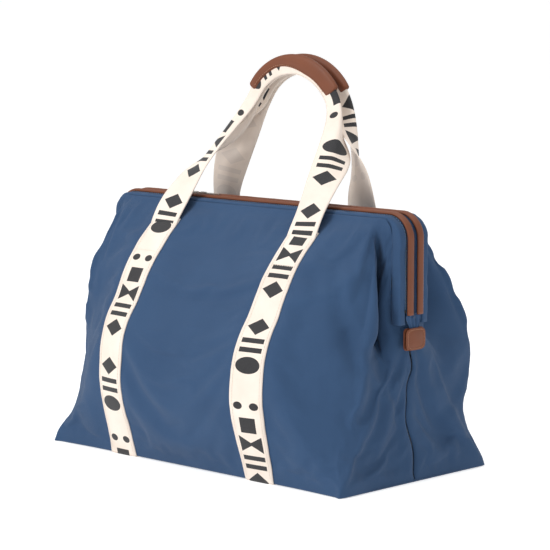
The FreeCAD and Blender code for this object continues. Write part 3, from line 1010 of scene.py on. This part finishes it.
def end_tab(name, hand):
    """A rounded leather leaf with a soft dome, a rolled edge and a stitched border."""
    (x0, y0, z0), (x1, y1, z1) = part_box(name + "_tab_outer")
    cy, cz = (y0 + y1) / 2 / MM, (z0 + z1) / 2 / MM
    hy, hz = (y1 - y0) / 2 / MM, (z1 - z0) / 2 / MM
    back_x = (x0 if hand > 0 else x1) / MM
    turn = full_turn(TAB_POINTS)
    c, s = squared(np.cos(turn), 0.45), squared(np.sin(turn), 0.45)

    def outline(share, height):
        x = np.full(TAB_POINTS, back_x + hand * height)
        return np.stack([x, cy + c * hy * share, cz + s * hz * share], 1)

    rings = [outline(share, height) for share, height in TAB_PROFILE]
    tab = tube(name + "_leather_tab", np.array(rings), LEATHER)
    subdivided(tab)
    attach(tab, "bag")
    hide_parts(name + "_tab_outer")
    border = outline(TAB_BORDER, 1.9)
    border = np.concatenate([border, border[:1]])
    facing = np.tile([float(hand), 0, 0], (len(border), 1))
    sewing = threads(name + "_tab_stitches", stitch_line(border, facing, 3.4, 2.3), TAN_THREAD, 0.36)
    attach(sewing, "bag")


end_tab("left", -1)
end_tab("right", 1)


TAIL_HALF = 14.5
TAIL_TOP = 219.2
TAIL_LENGTH = 23.2


def zip_tail(name, hand):
    """The ends of both tapes, gathered in pleats and sewn into the leather tab."""
    t, w = np.linspace(0, 1, 26)[:, None], np.linspace(-1, 1, 33)[None]
    half = TAIL_HALF - 6.0 * smooth(0.1, 0.8, t)
    grid = np.empty((t.size, w.size, 3))
    pleats = np.cos(w * 3.5 * math.pi) * (0.9 + 0.5 * np.sin(2.6 * t + w))
    grid[..., 0] = hand * (269.4 + 1.6 * smooth(0.1, 0.8, t) + pleats * smooth(1.1, 0.5, t))
    grid[..., 1] = w * half
    grid[..., 2] = TAIL_TOP - TAIL_LENGTH * t
    tail = cloth_solid(name + "_tape_tail", grid, 0.7, TAPE, inner_side=-hand)
    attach(tail, "bag")
    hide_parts(name + "_zip_tail")


zip_tail("left", -1)
zip_tail("right", 1)


# ---- Handles ----
ARCH_RADIUS = (GRIP_HALF**2 + GRIP_RISE**2) / (2 * GRIP_RISE)
ARCH_CENTRE = GRIP_END_Z + GRIP_RISE - ARCH_RADIUS
ARCH_ANGLE = math.asin(GRIP_HALF / ARCH_RADIUS)
CREASE = 8.6
CREASE_RADIUS = ARCH_RADIUS + CREASE
FOLDED = math.radians(5.0)
FOLD_SOFTNESS = 1.6
WEB_STATIONS = 70
ARCH_STATIONS = 44
# How far down the leather reaches over the fold, at the left and the right of each grip.
GRIP_COVER = {"front": (11.0, 21.5), "rear": (15.0, 12.0)}


def bezier(a, b, c, d, t):
    t = t[:, None]
    return (1 - t) ** 3 * a + 3 * (1 - t) ** 2 * t * b + 3 * (1 - t) * t**2 * c + t**3 * d


def arch_points(face, angles):
    """Places on the crease of a grip, by their angle from the top."""
    return np.stack(
        [
            CREASE_RADIUS * np.sin(angles),
            np.full(len(angles), GRIP_Y[face]),
            ARCH_CENTRE + CREASE_RADIUS * np.cos(angles),
        ],
        1,
    )


def square_to(tangent, direction):
    """The part of a direction that stands square to each tangent."""
    direction = np.asarray(direction, float)
    return unit(direction - tangent * (tangent @ direction)[:, None])


def web_side(face, hand):
    """From the foot to the grip: the crease's line, its outward side, and how folded it is."""
    side = SIDES[face]
    foot = np.array([hand * WEB_X, side * (PIVOT_Y + 1.5), PIVOT_Z - 4.0])
    lift = np.array([0.0, -side * 0.42, 0.91])
    top = arch_points(face, np.array([hand * ARCH_ANGLE]))[0]
    arrive = np.array([-hand * math.cos(ARCH_ANGLE), 0.0, math.sin(ARCH_ANGLE)])
    t = np.linspace(0, 1, WEB_STATIONS)
    line = bezier(foot, foot + lift * 62, top - arrive * 58, top, t)
    twist = smooth(0.12, 0.98, t) * math.pi / 2
    fold = math.pi / 2 - smooth(0.35, 0.97, t) * (math.pi / 2 - FOLDED)
    tangent = unit(np.gradient(line, axis=0))
    first = square_to(tangent, (0.0, side, 0.0))
    last = square_to(tangent, (hand, 0.0, 0.25))
    out = unit(first * np.cos(twist)[:, None] + last * np.sin(twist)[:, None])
    return line, out, fold


def handle(face):
    """One run of webbing from foot to foot, flat at its feet and folded in half in the grip."""
    left = web_side(face, -1)
    right = web_side(face, 1)
    angles = np.linspace(-ARCH_ANGLE, ARCH_ANGLE, ARCH_STATIONS + 2)[1:-1]
    arch = arch_points(face, angles)
    arch_out = np.stack([np.sin(angles), np.zeros(ARCH_STATIONS), np.cos(angles)], 1)
    line = np.concatenate([left[0], arch, right[0][::-1]])
    out = np.concatenate([left[1], arch_out, right[1][::-1]])
    fold = np.concatenate([left[2], np.full(ARCH_STATIONS, FOLDED), right[2][::-1]])
    tangent = unit(np.gradient(line, axis=0))
    out = unit(out - tangent * (out * tangent).sum(1)[:, None])
    across = np.cross(tangent, out)
    w = np.linspace(-WEB_WIDTH / 2, WEB_WIDTH / 2, 17)
    rounding = 1 - np.exp(-np.abs(w) / FOLD_SOFTNESS)
    bend = np.abs(w) - FOLD_SOFTNESS * rounding
    folded_width = np.cos(fold)[:, None] * np.sign(w)[None] * 1.9 * rounding[None]
    spread = np.sin(fold)[:, None] * w[None] + folded_width
    drop = np.cos(fold)[:, None] * bend[None]
    grid = line[:, None] + across[:, None] * spread[..., None] - out[:, None] * drop[..., None]
    run = distance_along(line)
    uv = np.stack(np.broadcast_arrays(w[None], run[:, None] + STRAP_END[face, "left"]), 2)
    facing = np.sign((grid_normals(grid) * out[:, None]).sum(2)[:, len(w) // 2].mean())
    web = cloth_solid(face + "_handle_webbing", grid, WEB_THICK, [WEB_FACE, WEB_BACK], uv, facing)
    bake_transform(web)
    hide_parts(face + "_grip_webbing", face + "_handle_web_left", face + "_handle_web_right")
    in_grip = slice(WEB_STATIONS, WEB_STATIONS + ARCH_STATIONS)
    grip(face, line[in_grip], out[in_grip])


def grip(face, line, out):
    """Leather sewn over the fold of the webbing, rounded along its back."""
    steps = len(line)
    share = np.linspace(0, 1, steps)
    at_left, at_right = GRIP_COVER[face]
    deep = at_left + (at_right - at_left) * smooth(0.3, 0.7, share)
    turn = np.linspace(math.radians(-90), math.radians(270), 28, endpoint=False)
    y_axis = np.array([0.0, 1.0, 0.0])
    rings = []
    for i in range(steps):
        end = min(i, steps - 1 - i)
        swell = 0.82 + 0.18 * smooth(0, 4, end)
        thick, high, low = 5.4 * swell, 4.2, -deep[i]
        centre, half = (high + low) / 2, (high - low) / 2
        ring = line[i] + np.outer(squared(np.cos(turn), 0.75) * thick, y_axis)
        rings.append(ring + np.outer(centre + squared(np.sin(turn), 0.85) * half, out[i]))
    wrap = tube(face + "_grip_wrap", np.array(rings), LEATHER)
    subdivided(wrap)
    body = face + "_handle"
    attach(wrap, body)
    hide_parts(face + "_grip_leather")
    lines = []
    for way in (-1, 1):
        path = [line[i] + y_axis * way * 5.0 - out[i] * (deep[i] - 3.2) for i in range(2, steps - 2)]
        lines += stitch_line(path, np.tile(y_axis * way, (steps - 4, 1)), 4.0, 2.7)
    sewing = threads(body + "_stitches", lines, TAN_THREAD, 0.4)
    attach(sewing, body)


handle("front")
handle("rear")


# ---- CAD pieces that keep their shape ----
KEPT = {
    "frame_bar": STEEL,
    "hinge_rivet": STEEL,
    "hinge_washer": STEEL,
    "zip_slider": NICKEL,
    "zip_pull": NICKEL,
    "tab_inner": LEATHER,
    "tab_stiffener": BOARD,
    "base_board": BOARD,
}
for node_name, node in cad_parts.items():
    for ending, material in KEPT.items():
        if node_name.endswith(ending):
            node.data.materials.clear()
            node.data.materials.append(material)
            bevel = node.modifiers.new("Soft edges", "BEVEL")
            bevel.width = 0.25 * MM
            bevel.segments = 2
            bevel.limit_method = "ANGLE"


# ---- Floor, light and camera ----
FLOOR_POINTS = 96


def stage_material():
    n = Nodes("pale_floor")
    tone = n.mix(n.noise(n.place(), 1.5), rgb(0.80, 0.80, 0.80), rgb(0.83, 0.83, 0.83))
    return n.finish(
        tone, 0.9, Specular_IOR_Level=0.1, Emission_Color=rgb(1.0, 1.0, 1.0), Emission_Strength=0.50
    )


def floor():
    """A wide flat floor, finer under the bag."""
    turn = full_turn(FLOOR_POINTS)
    rings = [
        np.stack([r * np.cos(turn), r * np.sin(turn), np.full(FLOOR_POINTS, -0.02)], 1)
        for r in np.geomspace(200.0, 60000.0, 14)
    ]
    faces = [face[::-1] for face in ring_faces(0, len(rings), FLOOR_POINTS)[:-1]]
    verts = np.concatenate(rings)
    ground = add_mesh("floor", verts, faces, stage_material(), verts[:, :2], shade=False)


floor()


def area_light(name, place, aim, size, power):
    data = bpy.data.lights.new(name, "AREA")
    data.size, data.energy = size, power
    light = bpy.data.objects.new(name, data)
    bpy.context.collection.objects.link(light)
    light.location = place
    light.rotation_mode = "QUATERNION"
    light.rotation_quaternion = (Vector(aim) - Vector(place)).to_track_quat("-Z", "Y")


area_light("key", (-0.6, -2.6, 2.3), (0, 0, 0.2), 1.3, 62)
area_light("end_fill", (2.8, -1.0, 1.7), (0, 0, 0.2), 1.8, 2)
area_light("top", (0.2, 0.6, 2.9), (0, 0, 0.2), 1.6, 24)

world = bpy.data.worlds.new("studio")
bpy.context.scene.world = world
world.use_nodes = True
world.node_tree.nodes["Background"].inputs[0].default_value = (1.0, 1.0, 1.0, 1.0)
world.node_tree.nodes["Background"].inputs[1].default_value = 0.62
bpy.context.scene.view_settings.view_transform = "Standard"

VIEW_TURN = math.radians(43.85)
VIEW_PITCH = math.radians(7.25)
VIEW_ASIDE = 0.0151
VIEW_HEIGHT = 0.24569
VIEW_DISTANCE = 3.2753
LENS = 155.16

level = math.cos(VIEW_PITCH)
back = Vector(
    (math.sin(VIEW_TURN) * level, -math.cos(VIEW_TURN) * level, math.sin(VIEW_PITCH))
)
right = Vector((math.cos(VIEW_TURN), math.sin(VIEW_TURN), 0.0))
up = back.cross(right)
camera_data = bpy.data.cameras.new("camera")
camera_data.sensor_width = 36.0
camera_data.lens = LENS
camera = bpy.data.objects.new("camera", camera_data)
bpy.context.collection.objects.link(camera)
camera.location = back * VIEW_DISTANCE + right * VIEW_ASIDE + up * VIEW_HEIGHT
camera.rotation_mode = "QUATERNION"
camera.rotation_quaternion = (-back).to_track_quat("-Z", "Y")
bpy.context.scene.camera = camera
